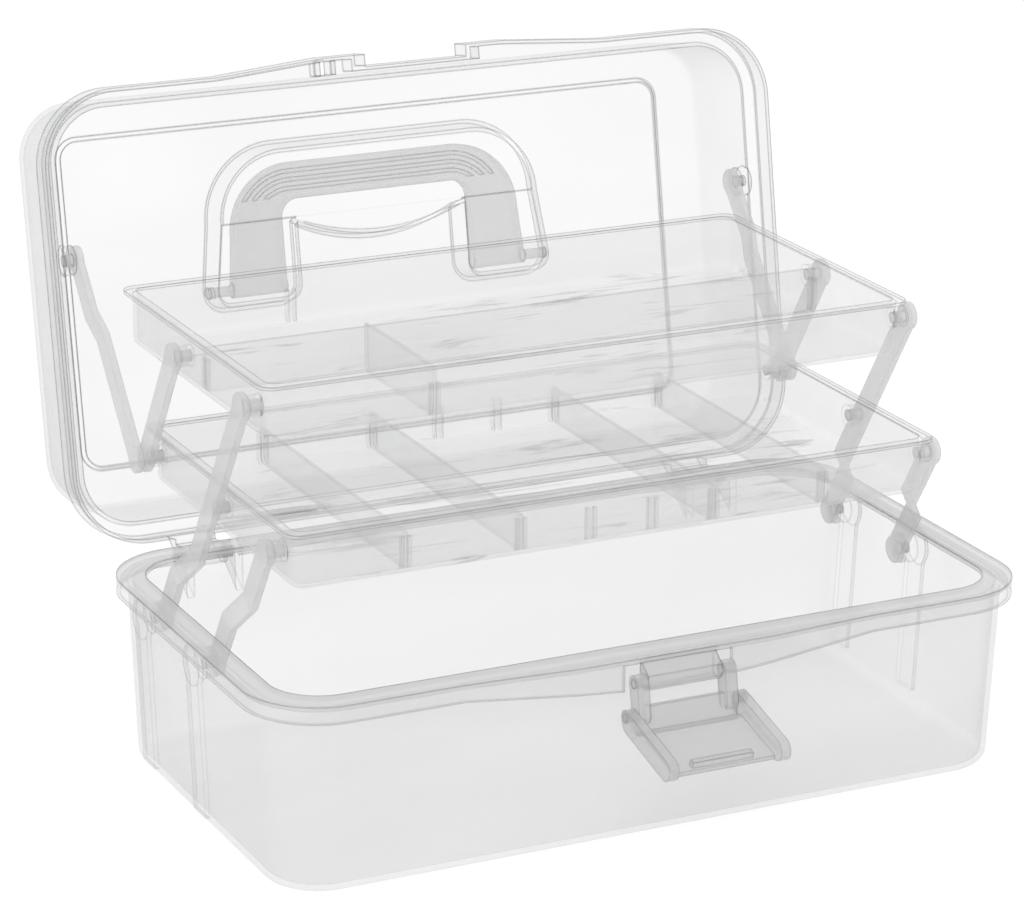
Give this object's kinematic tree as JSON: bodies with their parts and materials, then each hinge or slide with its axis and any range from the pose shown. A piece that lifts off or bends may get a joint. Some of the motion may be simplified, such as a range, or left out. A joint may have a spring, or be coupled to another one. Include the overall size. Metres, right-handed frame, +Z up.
{
  "type": "cantilever tray case",
  "caption": "See-through craft case whose hinged lid lifts stacked, divided trays on swing arms, with a folding handle in the lid and a lever latch at the front.",
  "frame": {"origin": "centre of the base's flat underside, on the surface that the case stands on", "axes": "+X along the case to the right as seen from the latch, +Y from the latch towards the hinge, +Z up"},
  "size_m": [0.32, 0.3255, 0.2536],
  "materials": {
    "clear_plastic": "glossy, moulded, see-through",
    "tray_plastic": "glossy, moulded, see-through",
    "frosted_plastic": "milky, satin, half see-through"
  },
  "bodies": {
    "base": {"base_tub": "clear_plastic", "hinge_pin_l": "frosted_plastic", "hinge_pin_r": "frosted_plastic"},
    "lid": {"lid_shell": "clear_plastic"},
    "handle": {"carry_handle": "frosted_plastic"},
    "lower_tray_set": {"lower_tray": "tray_plastic", "lower_divider_1": "tray_plastic", "lower_divider_2": "tray_plastic", "lower_divider_3": "tray_plastic", "lower_divider_4": "tray_plastic"},
    "upper_tray_set": {"upper_tray": "tray_plastic", "upper_divider_long": "tray_plastic", "upper_divider_cross": "tray_plastic"},
    "latch_link": {"latch_link": "frosted_plastic"},
    "latch_lever": {"latch_lever": "frosted_plastic"},
    "long_arm_left": {"long_arm_l": "frosted_plastic"},
    "front_arm_left": {"front_arm_l": "frosted_plastic"},
    "rear_link_left": {"rear_link_l": "frosted_plastic"},
    "lid_arm_left": {"lid_arm_l": "frosted_plastic"},
    "long_arm_right": {"long_arm_r": "frosted_plastic"},
    "front_arm_right": {"front_arm_r": "frosted_plastic"},
    "rear_link_right": {"rear_link_r": "frosted_plastic"},
    "lid_arm_right": {"lid_arm_r": "frosted_plastic"}
  },
  "joints": [
    {"name": "lid_hinge", "type": "hinge", "parent": "base", "child": "lid", "pos_m": [0, 0.0965, 0.0683], "axis": [1, 0, 0], "range_deg": [0, 100.4]},
    {"name": "long_arm_l_base", "type": "hinge", "parent": "base", "child": "long_arm_left", "pos_m": [0, 0.048, 0.065], "axis": [1, 0, 0], "range_deg": [0, 34.45]},
    {"name": "front_arm_l_base", "type": "hinge", "parent": "base", "child": "front_arm_left", "pos_m": [0, -0.0042, 0.065], "axis": [1, 0, 0], "range_deg": [0, 34.45]},
    {"name": "lid_arm_l_lid", "type": "hinge", "parent": "lid", "child": "lid_arm_left", "pos_m": [0, 0.13779, 0.18303], "axis": [1, 0, 0], "range_deg": [0, 30.99]},
    {"name": "long_arm_r_base", "type": "hinge", "parent": "base", "child": "long_arm_right", "pos_m": [0, 0.048, 0.065], "axis": [1, 0, 0], "range_deg": [0, 34.45]},
    {"name": "front_arm_r_base", "type": "hinge", "parent": "base", "child": "front_arm_right", "pos_m": [0, -0.0042, 0.065], "axis": [1, 0, 0], "range_deg": [0, 34.45]},
    {"name": "lid_arm_r_lid", "type": "hinge", "parent": "lid", "child": "lid_arm_right", "pos_m": [0, 0.13779, 0.18303], "axis": [1, 0, 0], "range_deg": [0, 30.99]},
    {"name": "lower_tray_main", "type": "hinge", "parent": "long_arm_left", "child": "lower_tray_set", "pos_m": [0, 0.01496, 0.11746], "axis": [1, 0, 0], "range_deg": [-34.45, 0]},
    {"name": "upper_tray_front", "type": "hinge", "parent": "long_arm_left", "child": "upper_tray_set", "pos_m": [0, -0.01595, 0.16654], "axis": [1, 0, 0], "range_deg": [-34.45, 0]},
    {"name": "rear_link_l_tray", "type": "hinge", "parent": "lower_tray_set", "child": "rear_link_left", "pos_m": [0, 0.08196, 0.11746], "axis": [1, 0, 0], "range_deg": [0, 34.45]},
    {"name": "rear_link_r_tray", "type": "hinge", "parent": "lower_tray_set", "child": "rear_link_right", "pos_m": [0, 0.08196, 0.11746], "axis": [1, 0, 0], "range_deg": [0, 34.45]},
    {"name": "handle_pivot", "type": "hinge", "parent": "lid", "child": "handle", "pos_m": [0, 0.17433, 0.15111], "axis": [-1, 0, 0], "range_deg": [0, 95]},
    {"name": "latch_link_pivot", "type": "hinge", "parent": "base", "child": "latch_link", "pos_m": [0, -0.0968, 0.068], "axis": [-1, 0, 0], "range_deg": [-11.02, 0]},
    {"name": "latch_lever_pivot", "type": "hinge", "parent": "latch_link", "child": "latch_lever", "pos_m": [0, -0.09909, 0.05622], "axis": [-1, 0, 0], "range_deg": [0, 115]}
  ],
  "couplings": [
    {"joint": "long_arm_l_base", "follows": "lid_hinge", "ratio": 0.343},
    {"joint": "front_arm_l_base", "follows": "lid_hinge", "ratio": 0.343},
    {"joint": "lid_arm_l_lid", "follows": "lid_hinge", "ratio": 0.30859},
    {"joint": "long_arm_r_base", "follows": "lid_hinge", "ratio": 0.343},
    {"joint": "front_arm_r_base", "follows": "lid_hinge", "ratio": 0.343},
    {"joint": "lid_arm_r_lid", "follows": "lid_hinge", "ratio": 0.30859},
    {"joint": "lower_tray_main", "follows": "lid_hinge", "ratio": -0.343},
    {"joint": "upper_tray_front", "follows": "lid_hinge", "ratio": -0.343},
    {"joint": "rear_link_l_tray", "follows": "lid_hinge", "ratio": 0.343},
    {"joint": "rear_link_r_tray", "follows": "lid_hinge", "ratio": 0.343},
    {"joint": "latch_link_pivot", "follows": "latch_lever_pivot", "ratio": -0.095652}
  ]
}
